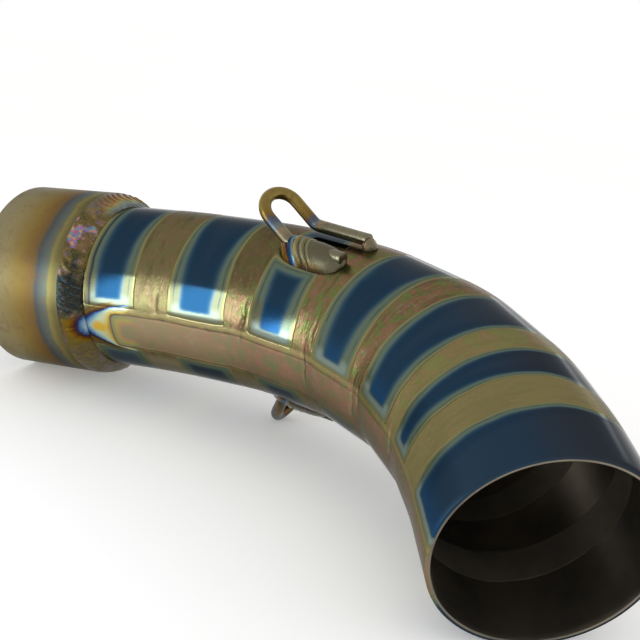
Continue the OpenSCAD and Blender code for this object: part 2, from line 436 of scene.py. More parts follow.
def placeAlong(point):
    # a point near the tube, as its distance along the middle line and its place
    # across it: towards the inside of the bend, and up
    best = None
    for part in path:
        if part["kind"] == "cold":
            offset = point - part["start"]
            along = offset.dot(ahead(part["heading"]))
            side = offset.dot(outward(part["heading"]))
            low = -socketLength - 1 if part["from"] == 0 else -0.01
            inside = low <= along <= part["long"] + (5 if part is path[-1] else 0.01)
        else:
            offset = point - part["centre"]
            turned = math.degrees(math.atan2(offset.x, offset.y)) - part["heading"]
            along = turned / part["turn"] * part["long"]
            side = math.hypot(offset.x, offset.y) - part["radius"]
            inside = -0.01 <= turned <= part["turn"] + 0.01
        if inside and (best is None or abs(side) < abs(best[1])):
            best = (part["from"] + along, side)
    return Vector((best[0], -best[1], point.z))


def pointAlong(distance):
    # middle line's point and heading at a distance from the socket's weld end
    part = [p for p in path if p["from"] <= distance][-1]
    past = distance - part["from"]
    if part["kind"] == "cold":
        return part["start"] + past * ahead(part["heading"]), part["heading"]
    heading = part["heading"] + past / part["long"] * part["turn"]
    return part["centre"] + part["radius"] * outward(heading), heading


# Wrinkles at the inside of the bend, where the heated metal was pushed together:
# distance along the tube, lowest and highest angle round it, slant, and depth
creases = (
    (57.0, 6, 38, 0.05, 0.8), (80.5, -8, 26, -0.03, 0.7),
    (100.5, -6, 24, 0.06, 1.0), (106.5, 2, 20, 0.02, 0.6), (126.0, -4, 22, 0.02, 0.7),
    (28.5, 14, 34, 0.04, 0.35), (83.2, 20, 44, -0.06, 0.35),
)


def creaseAt(point):
    place = placeAlong(point)
    angle = math.degrees(math.atan2(place.z, place.y))
    total = 0.0
    for at, low, high, slant, depth in creases:
        middle, half = (low + high) / 2, (high - low) / 2
        reach = max(0.0, 1 - ((angle - middle) / half) ** 2)
        wave = header["creaseWave"] * math.sin(angle * 0.31 + at)
        across = place.x - at - slant * (angle - middle) - wave
        total += depth * reach * math.exp(-(across / header["creaseWidth"]) ** 2)
    return min(1.0, total)


def growTube():
    moves = [{"start": (socketLength - socket["seat"], 0, 0)}]
    for part in path:
        if part["kind"] == "cold":
            reach = part["long"] + (socket["seat"] if part["from"] == 0 else 0)
            moves.append({"to": reach * ahead(part["heading"]),
                          "steps": math.ceil(reach / header["coldStep"])})
        else:
            moves.append({"turn": -part["turn"], "centre": part["centre"], "axis": (0, 0, 1),
                          "steps": math.ceil(part["long"] / header["hotStep"])})
    tube = drawRod("headerTube", skin, header["sides"], (0, math.pi / 2, 0), moves)
    closed(tube)
    if tube.data.polygons[0].normal.dot(tube.data.polygons[0].center) < 0:
        tube.data.flip_normals()
    weighted(tube, "creases", creaseAt)
    applied(tube, "DISPLACE", strength=-header["creaseDepth"] * mm, mid_level=0,
            vertex_group="creases")
    applied(tube, "SOLIDIFY", thickness=header["wall"] * mm, offset=-1)
    editing(tube)
    bevelSharpEdges(header["rimBevel"])
    noted(tube, "alongTube", placeAlong)
    return tube


# Heat marks, in millimetres along the tube and round it from the inside of the bend
tint = {
    "fringeInside": 4.6, "fringeOutside": 2.4,   # width from gold line to full blue
    "spreadFrom": 60, "spread": 0.016,           # hot bands grow towards the inside
    "weldEdge": 6.2, "weldFringe": 4.2, "weldLine": 7.7,
    "wander": 1.3, "ragged": 0.2,                # how far the edges stray
}
# The tan mark along the inside of the bend, and the heat round the two hook welds
seamMark = {"middle": -0.4, "half": 4.9, "end": 13.5, "corner": 3.0, "above": 6.2,
            "aboveFringe": 2.5, "below": 5.6, "belowFringe": 3.2}
hookHeat = ({"along": 69.0, "round": 29.4, "long": 11.5, "wide": 4.8, "fringe": 3.0},
            {"along": 78.5, "round": 38.0, "long": 5.0, "wide": 4.2, "fringe": 2.0})
# The flame-shaped mark between the socket's weld and the tan mark, and its gold core
flameMark = {"tip": 4.2, "round": 0.25, "flare": 0.29}
flameCore = {"along": 9.6, "round": 0.4, "long": 2.2, "wide": 1.5}
# Round the tube, in millimetres: where a tone rises, is full, and falls again
tones = {
    "lit": (3, 5, 13, 16),                # the strip where the key panel is reflected
    "lowEnd": (0, 2, 8, 15), "paleEnd": (0, 2, 8.5, 10.5),   # next to the tan mark
    "underneath": (-36, -20, -9, -5), "palerUnder": (-40, -22, -9, -6),
}


def tubeSpot(finish):
    # where a point of the tube is, and the noises that its colours share
    place = finish.notedPlace("alongTube")
    along, inward, upward = finish.split(place)
    angle = upward.maths("ARCTAN2", inward) * (180 / math.pi)
    around = angle * (math.pi / 180 * skin)
    wander = finish.noise(place, 0.09, 2) - 0.5
    ragged = finish.noise(place, 0.9, 3, 0.6) - 0.5
    flecks = finish.noise(place, 1.0, 3, 0.65, 1.4)
    return SimpleNamespace(
        place=place, along=along, inward=inward, upward=upward, around=around,
        fromInside=abs(angle), wander=wander, ragged=ragged, flecks=flecks,
        shifted=along + wander * tint["wander"] + ragged * tint["ragged"],
        across=around + wander + ragged * 0.3,
        mixed=finish.noise(place, 0.24, 4, 0.62, 0.9) * 0.72 + flecks * 0.28,
        broken=finish.noise(place, 0.22, 2).ease(0.38, 0.62))


def coolness(spot):
    # how cold a place stayed: 0 on a hot band's edge, 1 where the blue is full
    bands = None
    for start, end in hotBands:
        gap = (start - spot.shifted).most(spot.shifted - end)
        bands = gap if bands is None else bands.least(gap)
    spread = (spot.fromInside - tint["spreadFrom"]) * tint["spread"]
    bands = bands + spot.along.ease(50, 90) * spread
    fringe = (spot.fromInside.ease(15, 110, tint["fringeInside"], tint["fringeOutside"])
              * spot.along.ease(100, 128, 1.0, 0.62))
    aboveSeam = (spot.across - seamMark["above"]) / seamMark["aboveFringe"]
    belowSeam = (-spot.across - seamMark["below"]) / seamMark["belowFringe"]
    weldHeat = (spot.shifted - tint["weldEdge"]) / tint["weldFringe"]
    cool = (bands / fringe).softLeast(aboveSeam.most(belowSeam), 0.4).softLeast(weldHeat, 0.2)
    for mark in hookHeat:
        lengthwise = (spot.along - mark["along"]) / mark["long"]
        crosswise = (spot.around - mark["round"]) / mark["wide"]
        reach = (lengthwise * lengthwise + crosswise * crosswise).maths("SQRT") - 1
        cool = cool.softLeast(reach * (mark["wide"] / mark["fringe"]), 0.3)
    return cool


def blueOxide(finish, spot, cool):
    # gold, grey-green, teal and blue, from a hot band's edge to the cold middle
    along, around = spot.along, spot.around
    colour = finish.ramp((cool + 0.5) / 3, (
        (0.140, "#6c6241"), (0.173, "#7a744a"), (0.200, "#77775a"), (0.235, "#626b55"),
        (0.290, "#5c6856"), (0.360, "#5d6b5c"), (0.405, "#50615f"), (0.450, "#384e5c"),
        (0.500, "#27404f"), (0.567, "#20374a"), (0.75, "#213649"), (1.0, "#273a4b")))
    # painted reflection: the blue turns greyer over the top of the tube, and a darker grey
    # further along
    topReflectionGrey = finish.blend(along.ease(95, 140), paint("#3f454b"), paint("#2f3034"))
    colour = finish.blend(spot.fromInside.ease(72, 112) * cool.ease(0.7, 1.1) * 0.75,
                          colour, topReflectionGrey)
    lit = around.between(*tones["lit"]) * along.fade(62, 76)
    colour = finish.over(colour, lit * cool.ease(0.7, 1.15) * 0.9, "#14324b")
    colour = finish.over(colour, lit * cool.fade(0.55, 0.95) * 0.75, "#5f5a40")
    lowEnd = around.between(*tones["lowEnd"]) * cool.ease(0.8, 1.1)
    colour = finish.over(colour, lowEnd * along.ease(50, 62) * 0.4, "#21507f")
    paleEnd = around.between(*tones["paleEnd"]) * cool.between(0.1, 0.4, 0.6, 0.95)
    colour = finish.over(colour, paleEnd * along.ease(45, 68, 0.25, 0.6), "#87948d")
    underneath = around.between(*tones["underneath"]) * cool.ease(0.4, 0.9)
    slate = finish.blend(along.ease(20, 32), paint("#485861"), paint("#323e47"))
    colour = finish.blend(underneath * 0.8, colour, slate)

    # broken dark and gold lines inside the fringe, and the weld's own dark line
    onSides = around.ease(8, 11) + around.fade(-9, -7) * 0.5
    darkLine = cool.line(0.34, 0.075) * (spot.broken * 0.7 + 0.2)
    goldLine = cool.line(0.06, 0.05) * (1 - spot.broken * 0.6)
    colour = finish.over(colour, darkLine * onSides, "#35464a")
    colour = finish.over(colour, goldLine * onSides, "#8d824c")
    weldLine = spot.shifted.line(tint["weldLine"], 0.7) * around.ease(4, 7)
    return finish.over(colour, weldLine * 0.8, "#262a33")


def bronzeMetal(finish, spot):
    # mottled bronze, olive, rose and green on the hot bands
    along, around = spot.along, spot.around
    grain = finish.joined(along * 0.5, spot.inward * 0.12, spot.upward * 0.12)
    shade = finish.noise(grain, 1.0, 3, 0.6)
    mottled = finish.ramp(spot.mixed, (
        (0.36, "#5f6440"), (0.42, "#65743f"), (0.465, "#6c683f"), (0.50, "#6f6140"),
        (0.54, "#7d5f47"), (0.58, "#86604f"), (0.63, "#6d6a4e"), (0.70, "#74803f")))
    mottling = along.ease(34, 72, 0.22, 1.0) * along.ease(128, 136, 1.0, 0.2)
    colour = finish.blend(mottling, paint("#6b5f41"), mottled)
    colour = finish.over(colour, shade.ease(0.50, 0.66) * 0.45, "#4b4230")
    colour = finish.over(colour, along.line(54, 14) * around.ease(14, 18) * 0.5, "#4a4129")
    colour = finish.over(colour, spot.flecks.ease(0.56, 0.70) * 0.3, "#8f8a66")
    colour = finish.over(colour, along.ease(114, 126) * 0.5, "#8b8154")
    paler = around.between(*tones["palerUnder"]) * along.ease(30, 45, 0.9, 0.5)
    return finish.over(colour, paler, "#8a8064")


def outsideSeam(spot):
    # distance outside the tan mark's edge, which is rounded where the mark starts
    beside = abs(spot.across - seamMark["middle"]) - seamMark["half"]
    return beside.maths("SMOOTH_MAX", seamMark["end"] - spot.along, seamMark["corner"])


def tanMetal(finish, spot, seam):
    # the mark along the inside of the bend, with rings of colour where it starts
    colour = finish.ramp(spot.mixed, (
        (0.38, "#6f7b57"), (0.45, "#827b5b"), (0.51, "#8b7558"), (0.56, "#9b7062"),
        (0.62, "#868468")))
    # painted highlight: the tan mark is paler and evener towards the inlet end
    colour = finish.over(colour, spot.along.fade(25, 75) * 0.5, "#ad9877")
    # painted shade: the tan mark is darker towards its lower edge
    colour = finish.over(colour, spot.across.fade(-4.5, 1.5) * 0.35, "#5f583f")
    rings = finish.ramp(-seam / 5, (
        (0.0, "#7f7b63"), (0.16, "#8a8f66"), (0.30, "#a69a5c"), (0.46, "#ab8b66"),
        (0.62, "#97866a"), (0.80, "#8b8a68"), (1.0, "#93856a")))
    return finish.blend(spot.along.fade(18, 22), colour, rings)


def seamLines(finish, spot, seam, colour):
    # thin gold, dark and rose lines along the mark's edge
    faded = spot.along.ease(60, 115, 1, 0.25)
    gold = seam.line(0.35, 0.3) * (spot.broken * 0.7 + 0.15)
    dark = seam.line(0.0, 0.24) * (0.75 - spot.broken * 0.4)
    rose = seam.line(-0.5, 0.3) * spot.broken * 0.6
    colour = finish.over(colour, gold * faded, "#9a8650")
    colour = finish.over(colour, dark * faded, "#4a4350")
    return finish.over(colour, rose * faded, "#b08d68")


def flameOver(finish, spot, seam, colour):
    # white, gold and blue between the socket's weld and the tan mark, in a dark rim; the mark
    # is real, and its colours are painted lighter, as they look in the highlight
    along, ragged = spot.along, spot.ragged
    crosswise = spot.around - flameMark["round"] + ragged * 0.8
    inFlame = (along + spot.wander * 1.2 - flameMark["tip"]
               - crosswise * crosswise * flameMark["flare"])
    inFlame = inFlame / (abs(crosswise) * 0.3 + 1)
    flame = finish.ramp(seam / (seam + inFlame.most(0)).most(0.05), (
        (0.00, "#7f7b63"), (0.05, "#9b8358"), (0.11, "#bd9a44"), (0.18, "#c8b056"),
        (0.27, "#c6bc80"), (0.42, "#c3c597"), (0.58, "#bac7a6"), (0.70, "#a0b9b2"),
        (0.79, "#7d9fb0"), (0.86, "#587ea4"), (0.925, "#33508a"), (0.97, "#26265a"),
        (1.0, "#2a2030")))
    lengthwise = (along - flameCore["along"]) / flameCore["long"]
    sideways = (spot.around - flameCore["round"]) / flameCore["wide"]
    core = lengthwise * lengthwise + sideways * sideways + ragged * 1.5
    flame = finish.over(flame, core.ease(0.3, 1.6, 0.85, 0), "#d2a41c")
    within = inFlame.ease(-0.1, 0.1) * seam.ease(0, 0.15) * along.fade(17, 20)
    colour = finish.blend(within, colour, flame)
    rim = finish.ramp(-inFlame / 2, (
        (0.0, "#2a2030"), (0.25, "#4a3020"), (0.5, "#6d5428"), (0.8, "#5a4a2c"),
        (1.0, "#2c2b33")))
    atRim = inFlame.between(-1.9, -1.6, -0.1, 0.1) * along.fade(13, 16) * seam.ease(0.1, 0.4)
    return finish.blend(atRim * 0.9, colour, rim)


def heatTint():
    # Blue oxide on the cold stretches, bronze on the hot bands, the tan mark and the
    # flame over both, and greyer, duller metal inside the pipe
    finish = Finish("heatTint", Metallic=1.0, Specular_Tint=paint("#bcbcbc"))
    spot = tubeSpot(finish)
    along, around, inward, upward = spot.along, spot.around, spot.inward, spot.upward
    cool, seam = coolness(spot), outsideSeam(spot)
    heated = finish.blend(seam.fade(-0.5, 0.2), bronzeMetal(finish, spot),
                          tanMetal(finish, spot, seam))
    sandy = seam.line(1.0, 1.1) * around.ease(2, 5) * along.ease(60, 120, 0.7, 0.35)
    heated = finish.over(heated, sandy, "#a3966a")
    isHot = cool.fade(-0.12, -0.02)
    colour = finish.blend(isHot, blueOxide(finish, spot, cool), heated)
    colour = seamLines(finish, spot, seam, colour)
    colour = flameOver(finish, spot, seam, colour)

    soot = finish.noise(spot.place, 0.12, 2, 0.5)
    sooty = finish.ramp(soot, ((0.3, "#77716a"), (0.5, "#857e70"), (0.7, "#8f8676")))
    fromMiddle = (inward * inward + upward * upward).maths("SQRT")
    isInside = fromMiddle.fade(skin - 0.7, skin - 0.45)
    finish.set("Base Color", finish.blend(isInside, colour, sooty))

    dulled = along.ease(112, 128) * around.between(3, 8, 15, 22)
    finish.set("Roughness", isHot * 0.15 + spot.ragged * 0.05 + 0.11
               + isInside * 0.3 + dulled * 0.3)
    fine = finish.noise(finish.joined(along * 3.2, inward * 0.9, upward * 0.9), 1.0, 3, 0.6)
    peel = ((finish.noise(spot.place, 0.8, 3, 0.55) + fine * 0.4) * isHot
            + finish.noise(spot.place, 6.0, 2) * 0.06)
    finish.relief(peel, 0.12, 0.6)
    return finish.material


headerTube = growTube()
finished(headerTube, "header_tube", heatTint())


# Inlet socket
def turnSocket():
    radius, seatRadius = socket["outside"] / 2, skin + socket["clearance"]
    bore, edge, length = radius - socket["wall"], socket["edge"], socketLength
    depth = socket["depth"]
    # the section, from the mouth along the outside and back through the bore
    rows = [(0, bore)]
    for turn in (0, 22, 45, 68, 90):
        a = math.radians(turn)
        rows.append((edge * (1 - math.cos(a)), radius - edge * (1 - math.sin(a))))
    rows += [(x, radius) for x in socket["outsideRings"]]
    rows += [(length, radius), (length, seatRadius), (depth, seatRadius), (depth, bore)]
    rows += [(x, bore) for x in socket["boreRings"]] + [(0, bore)]
    piece = drawLine("inletSocket", [(x, 0, r) for x, r in rows])
    turnedRound(piece, socket["sides"])
    return piece


def flatPlace(finish):
    # a place in millimetres on the pipe as it was before it was laid down
    turn = layDown.inverted().to_euler()
    return finish.add("ShaderNodeVectorRotate", {"rotation_type": "EULER_XYZ"},
                      {"Vector": finish.placeInMillimetres(), "Rotation": tuple(turn)}
                      ).outputs[0]


def socketTint():
    # Turned titanium: straw away from the weld, then bronze and a grey band
    finish = Finish("socketTint", Metallic=1.0, Specular_Tint=paint("#bcbcbc"))
    place = flatPlace(finish)
    along, side, upward = finish.split(place)
    wander = finish.noise(place, 0.11, 3) - 0.5
    shifted = along + wander * 2.2
    colour = finish.ramp(shifted / 30, (
        (0.05, "#8d8468"), (0.25, "#8e815b"), (0.42, "#86713f"), (0.52, "#7c6238"),
        (0.585, "#6e5a3c"), (0.615, "#4d5254"), (0.66, "#585f5c"), (0.72, "#66695a"),
        (0.745, "#857a48"), (0.80, "#6c6440"), (0.88, "#5c5a3c")))
    patches = finish.noise(place, 0.35, 4, 0.6, 0.8)
    colour = finish.over(colour, patches.ease(0.5, 0.7) * 0.35, "#6d5540")
    depth = (side * side + upward * upward).maths("SQRT")
    bored = depth.fade(socket["outside"] / 2 - 0.6, socket["outside"] / 2 - 0.4)
    colour = finish.over(colour, bored, "#7d776b")
    finish.set("Base Color", colour)
    cuts = finish.joined(along * 9, side * 0.05, upward * 0.05)
    lathe = finish.noise(cuts, 1.0, 2)
    finish.set("Roughness", lathe * 0.12 + 0.22 + patches * 0.08)
    finish.relief(lathe + patches * 0.5, 0.03, 0.5)
    return finish.material


finished(turnSocket(), "inlet_socket", socketTint())

# Socket weld
ringWeld = {"long": 5.8, "ripples": 68, "steps": 9, "rows": 20, "round": 1.5, "ripple": 0.40,
            "smoothAt": 0.30, "smoothWide": 0.07, "smoothed": 0.65, "bow": 1.3,
            "flat": 0.02}


def ringCrown(u):
    leg = socket["outside"] / 2 - skin - socket["clearance"]
    return (socketLength + socket["clearance"]
            + ringWeld["long"] * math.sin(math.pi / 2 * u) ** ringWeld["round"],
            skin + socket["clearance"] + leg * math.cos(math.pi / 2 * u) ** ringWeld["round"])


def rippleHeight(point):
    # overlapping coins: each one steps up slowly and drops quickly, and its edge
    # trails away towards both toes of the weld; the faces on its seats stay flat
    onTube = math.hypot(point.y, point.z) <= skin + socket["clearance"] + ringWeld["flat"]
    if onTube or point.x <= socketLength + socket["clearance"] + 0.03:
        return 0.0
    x = (point.x - socketLength) / ringWeld["long"]
    angle = math.atan2(point.z, point.y) / (2 * math.pi)
    bow = ringWeld["bow"] * (2 * x - 0.9) ** 2
    coin = (angle * ringWeld["ripples"] + bow + 0.3 * math.sin(angle * 55)) % 1.0
    uneven = 0.75 + 0.25 * math.sin(angle * 120 + 3 * math.sin(angle * 31))
    swell = math.sin(math.pi * min(1.0, max(0.0, x))) ** 0.9
    off = (angle - ringWeld["smoothAt"]) / ringWeld["smoothWide"]
    flatter = 1 - ringWeld["smoothed"] * math.exp(-off ** 4)
    return swell * uneven * flatter * (coin ** 1.4)


def rollWeld():
    rows = ringWeld["rows"]
    points = [ringCrown(i / rows) for i in range(rows + 1)]
    foot = (points[0][0], points[-1][1])
    outline = points + [foot, points[0]]
    piece = drawLine("socketWeld", [(x, 0, r) for x, r in outline])
    turnedRound(piece, ringWeld["ripples"] * ringWeld["steps"])
    weighted(piece, "ripples", rippleHeight)
    applied(piece, "DISPLACE", strength=ringWeld["ripple"] * mm, mid_level=0,
            vertex_group="ripples")
    return piece


# Angles round the ring: where a tone rises, is full, and falls again
ringZones = {"dark": (4, 12, 32, 44), "crystals": (49, 56, 68, 78), "sweep": (80, 96, 128, 142)}


def ringTint():
    # the ring weld's finish changes as it goes round: blue-black crescents, a patch
    # of coloured crystals, gold ticks, and the foot of the tube's flame mark
    finish = Finish("ringTint", Metallic=1.0)
    place = flatPlace(finish)
    along, outwards, upward = finish.split(place)
    past = along - socketLength
    angle = upward.maths("ARCTAN2", -outwards) * (180 / math.pi)
    around = angle * (math.pi / 180 * skin)
    patches = finish.noise(place, 0.3, 4, 0.62, 0.5)
    flecks = finish.noise(place, 1.3, 4, 0.7, 1.0)
    wandering = angle + (patches - 0.5) * 40
    zone = finish.ramp((wandering + 180) / 360, (
        (0.00, "#6a634c"), (0.40, "#6c644c"), (0.455, "#6d5f42"), (0.495, "#4a402a"),
        (0.515, "#2a2d28"), (0.535, "#1a262e"), (0.590, "#18242b"), (0.612, "#33372a"),
        (0.632, "#4b4a2c"), (0.655, "#7a6150"), (0.675, "#8a6c55"), (0.700, "#5c5130"),
        (0.722, "#524c27"), (0.750, "#7a7038"), (0.780, "#83793f"), (0.850, "#5f583a"),
        (1.0, "#5f583c")))
    rough = finish.ramp(patches * 0.5 + flecks * 0.5, (
        (0.34, "#1f2a2e"), (0.42, "#3f4233"), (0.48, "#5d5333"), (0.54, "#71592c"),
        (0.60, "#6a6648"), (0.68, "#3f4c50")))
    dark = wandering.between(*ringZones["dark"])
    lower = wandering.fade(-32, -20)
    colour = finish.blend(0.62 - dark * 0.45 - lower * 0.3, zone, rough)
    streaks = finish.noise(finish.joined(past * 0.9, around * 2.6, 0), 1.0, 3, 0.7, 1.2)
    ticks = streaks.ease(0.60, 0.68) * (1 - dark * 0.75 - lower * 0.7) * past.ease(0.3, 1.0)
    colour = finish.over(colour, ticks * 0.85, "#b8952c")
    shimmer = finish.crystals(place, 1.25, (
        (0.0, "#5f9a94"), (0.25, "#8d5f9c"), (0.45, "#b8707f"), (0.62, "#c3a04a"),
        (0.8, "#9a6fa8"), (1.0, "#4f86a6")))
    mainPatch = wandering.between(*ringZones["crystals"])
    where = finish.noise(place, 0.2, 3, 0.5).ease(0.50, 0.58) * (mainPatch * 0.75 + 0.2)
    colour = finish.blend(where.least(0.9) * (1 - dark), colour, shimmer)
    # pale edges of the crescents in the dark stretch
    coin = around / (2 * math.pi * skin) * ringWeld["ripples"] + past * 0.2
    edge = coin.maths("FRACT").line(0.1, 0.14)
    colour = finish.over(colour, edge * dark * flecks.ease(0.42, 0.6) * 0.5, "#46616a")
    # smooth brown, orange and gold where the bead was finished, at the top
    sweep = finish.ramp((past + (patches - 0.5) * 2.5) / ringWeld["long"], (
        (0.10, "#4c3c24"), (0.34, "#6b4a28"), (0.52, "#8a5f2c"), (0.66, "#a58438"),
        (0.78, "#8f9168"), (0.90, "#6d7f80"), (1.0, "#4a5357")))
    atTop = wandering.between(*ringZones["sweep"])
    colour = finish.blend(atTop * 0.8, colour, sweep)
    crosswise = around - flameMark["round"]
    inFlame = (past - flameMark["tip"]
               - crosswise * crosswise * flameMark["flare"] * 0.6)
    foot = finish.ramp((inFlame + (flecks - 0.5) * 1.2 + 4) / 6, (
        (0.05, "#6a5a26"), (0.28, "#73560f"), (0.44, "#623c08"), (0.55, "#3b2118"),
        (0.64, "#2a2850"), (0.76, "#4a6f9c"), (0.92, "#a3bcc0")))
    atFoot = abs(crosswise + 1.2).fade(3.0, 4.8) * past.ease(0.2, 1.2)
    colour = finish.blend(atFoot * 0.95, colour, foot)
    finish.set("Base Color", colour)
    finish.set("Roughness", flecks * 0.3 + 0.16 - dark * 0.06)
    finish.relief(flecks + patches * 0.5, 0.12, 0.7)
    return finish.material


finished(rollWeld(), "socket_weld", ringTint(), 60)

# Spring hooks
hook = {
    "wire": 3.0, "half": 4.6, "bend": 3.0, "leg": 16.4, "gap": 0.45, "yaw": 3, "roll": 3,
    "sides": 28, "cutEdge": 0.18,
}
upperHook = {"at": 62.3, "side": 0.5, "loop": 7.4, "rise": 43, "mirrored": False}
lowerHook = {"at": 54.6, "side": -2.4, "loop": 5.2, "rise": 61, "mirrored": True}


def hookHeight():
    reach = skin + hook["wire"] / 2
    return math.sqrt(reach ** 2 - hook["half"] ** 2) + hook["gap"]


def hookPlace(which):
    # from the hook's own axes, legs along X, to the flat pipe
    middle, heading = pointAlong(which["at"])
    place = middle + which["side"] * outward(heading) + Vector((0, 0, hookHeight()))
    return (Matrix.Translation(place)
            @ Matrix.Rotation(math.radians(-heading - hook["yaw"]), 4, "Z")
            @ Matrix.Rotation(math.radians(hook["roll"]), 4, "X"))


def turnedUnder(piece, which):
    # the lower hook and its welds are mirrored to the pipe's underside
    if which["mirrored"]:
        piece.data.transform(Matrix.Scale(-1, 4, (0, 0, 1)))
        piece.data.flip_normals()


def bendHook(name, which):
    half, rise, bend = hook["half"], which["rise"], hook["bend"]
    trim = bend * math.tan(math.radians(rise) / 2)
    loop = which["loop"]
    up = Vector((-math.cos(math.radians(rise)), 0, math.sin(math.radians(rise))))
    reach = loop - trim
    far = loop * up
    axis = Vector((math.sin(math.radians(rise)), 0, math.cos(math.radians(rise))))
    piece = drawRod(name, hook["wire"] / 2, hook["sides"], (0, math.pi / 2, 0), (
        {"start": (hook["leg"], -half, 0)},
        {"to": (trim - hook["leg"], 0, 0), "steps": 14},
        {"turn": rise, "centre": (trim, 0, bend), "axis": (0, 1, 0), "steps": 10},
        {"to": reach * up, "steps": 6},
        {"turn": -180, "centre": far, "axis": axis, "steps": 28},
        {"to": -reach * up, "steps": 6},
        {"turn": -rise, "centre": (trim, 0, bend), "axis": (0, 1, 0), "steps": 10},
        {"to": (hook["leg"] - trim, 0, 0), "steps": 14}))
    editing(piece)
    bpy.ops.mesh.remove_doubles(threshold=0.00001)
    end = hook["leg"] - 0.01
    selectWhere(piece, lambda place: place.x / mm > end)
    bpy.ops.mesh.edge_face_add()
    bpy.ops.mesh.select_all(action="SELECT")
    bpy.ops.mesh.normals_make_consistent(inside=False)
    bevelSharpEdges(hook["cutEdge"])
    noted(piece, "alongHook", lambda place: place)
    place = hookPlace(which)
    place.translation *= mm
    piece.data.transform(place)
    turnedUnder(piece, which)
    return piece


def wireTint(name, loop, leg, dark):
    # Straw on the loop, a narrow blue-grey change near the welds, grey-brown legs
    finish = Finish(name, Metallic=1.0)
    place = finish.notedPlace("alongHook")
    along, across, upward = finish.split(place)
    wander = finish.noise(place, 0.3, 2) - 0.5
    change = along + wander * 1.5 - across * 0.42 + 1.4
    patches = finish.noise(place, 0.8, 3, 0.6, 0.5)
    colour = finish.ramp((change + 10) / 30, (
        (0.0, loop[0]), (0.20, loop[1]), (0.29, loop[2]), (0.315, "#54505a"),
        (0.34, "#4d5c6c"), (0.375, "#6c7270"), (0.40, "#8a775c"), (0.45, leg[0]),
        (0.80, leg[1]), (0.88, leg[0])))
    colour = finish.over(colour, patches.ease(0.5, 0.7) * 0.45, dark)
    finish.set("Base Color", colour)
    drawn = finish.noise(finish.joined(along * 0.15, across * 4, upward * 4), 1.0, 2)
    finish.set("Roughness", patches * 0.2 + 0.2)
    finish.relief(drawn * 0.5 + patches, 0.05, 0.6)
    return finish.material


strawWire = wireTint("strawWire", ("#816f3e", "#84703b", "#755c2b"),
                     ("#706b57", "#77705b"), "#5a4c35")
bronzeWire = wireTint("bronzeWire", ("#5f4f34", "#6b5836", "#5a4326"),
                      ("#5b5544", "#625a45"), "#3d3122")
upperWire = bendHook("upperSpringHook", upperHook)
lowerWire = bendHook("lowerSpringHook", lowerHook)
finished(upperWire, "upper_spring_hook", strawWire)
finished(lowerWire, "lower_spring_hook", bronzeWire)

# Hook welds
longWeld = {
    "behind": 2.7, "beyond": 0.4, "skirt": 4.4, "inner": 1.3, "cover": 0.3, "pitch": 1.9,
    "ripple": 0.65, "bow": 1.2, "bowBelow": 3.6, "rippledTo": 7.4,
    "rows": 160, "columns": 56, "toe": 0.12, "clearance": 0.02,
}
tackWeld = {"wide": 4.4, "long": 3.0, "rows": 30, "columns": 30, "toe": 0.12,
            "clearance": 0.02}


def tubeTop(point):
    # height of the tube's skin over a plan point
    off = placeAlong(Vector((point.x, point.y, 0))).y
    return math.sqrt((skin + header["swell"]) ** 2 - off ** 2)


def planOf(which, u, v):
    middle, heading = pointAlong(which["at"])
    turned = heading + hook["yaw"]
    return middle + which["side"] * outward(heading) + u * ahead(turned) + v * outward(turned)


def legHeight(side):
    return hookHeight() + side * hook["half"] * math.sin(math.radians(hook["roll"]))


def layBead(name, which, rows, columns, plan, height, note, clearance):
    # a grid laid on the tube, its middle raised to the bead's height, then closed
    # by a second skin that follows the tube
    clearSelection()
    bpy.ops.mesh.primitive_grid_add(x_subdivisions=rows, y_subdivisions=columns,
                                    size=2, location=(0, 0, 0))
    piece = named(name)
    editing(piece)
    bpy.ops.mesh.extrude_region_move(TRANSFORM_OT_translate={"value": (0, 0, 1)})
    bpy.ops.object.mode_set(mode="OBJECT")
    notes = piece.data.attributes.new("onBead", "FLOAT_VECTOR", "POINT")
    for vertex in piece.data.vertices:
        t, w, upper = vertex.co.x, vertex.co.y, vertex.co.z > 0.5
        notes.data[vertex.index].vector = note(t, w)
        point = plan(t, w)
        point.z = tubeTop(point) + (height(t, w, point) if upper else clearance)
        vertex.co = point * mm
    closed(piece, 0.000001)
    turnedUnder(piece, which)
    return piece


def longBead(name, which):
    low, high = -longWeld["behind"], hook["leg"] + longWeld["beyond"]
    inner = hook["wire"] / 2 + longWeld["inner"]

    def lengthAt(t):
        return low + (high - low) * (t + 1) / 2

    def spread(t):
        return math.sqrt(max(1 - abs(t) ** 3, 0.02))

    def plan(t, w):
        wide = longWeld["skirt"] if w < 0 else inner
        return planOf(which, lengthAt(t), -hook["half"] + w * spread(t) * wide)

    def bowed(t, w):
        return lengthAt(t) - (longWeld["bowBelow"] if w < 0 else longWeld["bow"]) * w * w

    def height(t, w, point):
        ridge = (legHeight(-1) + hook["wire"] / 2 + longWeld["cover"]
                 - tubeTop(planOf(which, lengthAt(t), -hook["half"])))
        q = (bowed(t, w) / longWeld["pitch"]) % 1.0
        crescent = 1 - (2 * q ** 0.7 - 1) ** 2
        fade = max(0.0, min(1.0, (longWeld["rippledTo"] - bowed(t, w)) / 1.5))
        ripple = longWeld["ripple"] * (crescent ** 0.6 - 0.55) * fade
        return longWeld["toe"] + (ridge + ripple) * spread(t) * (1 - w * w) ** 0.55

    return layBead(name, which, longWeld["rows"], longWeld["columns"], plan, height,
                   lambda t, w: (lengthAt(t), bowed(t, w), w), longWeld["clearance"])


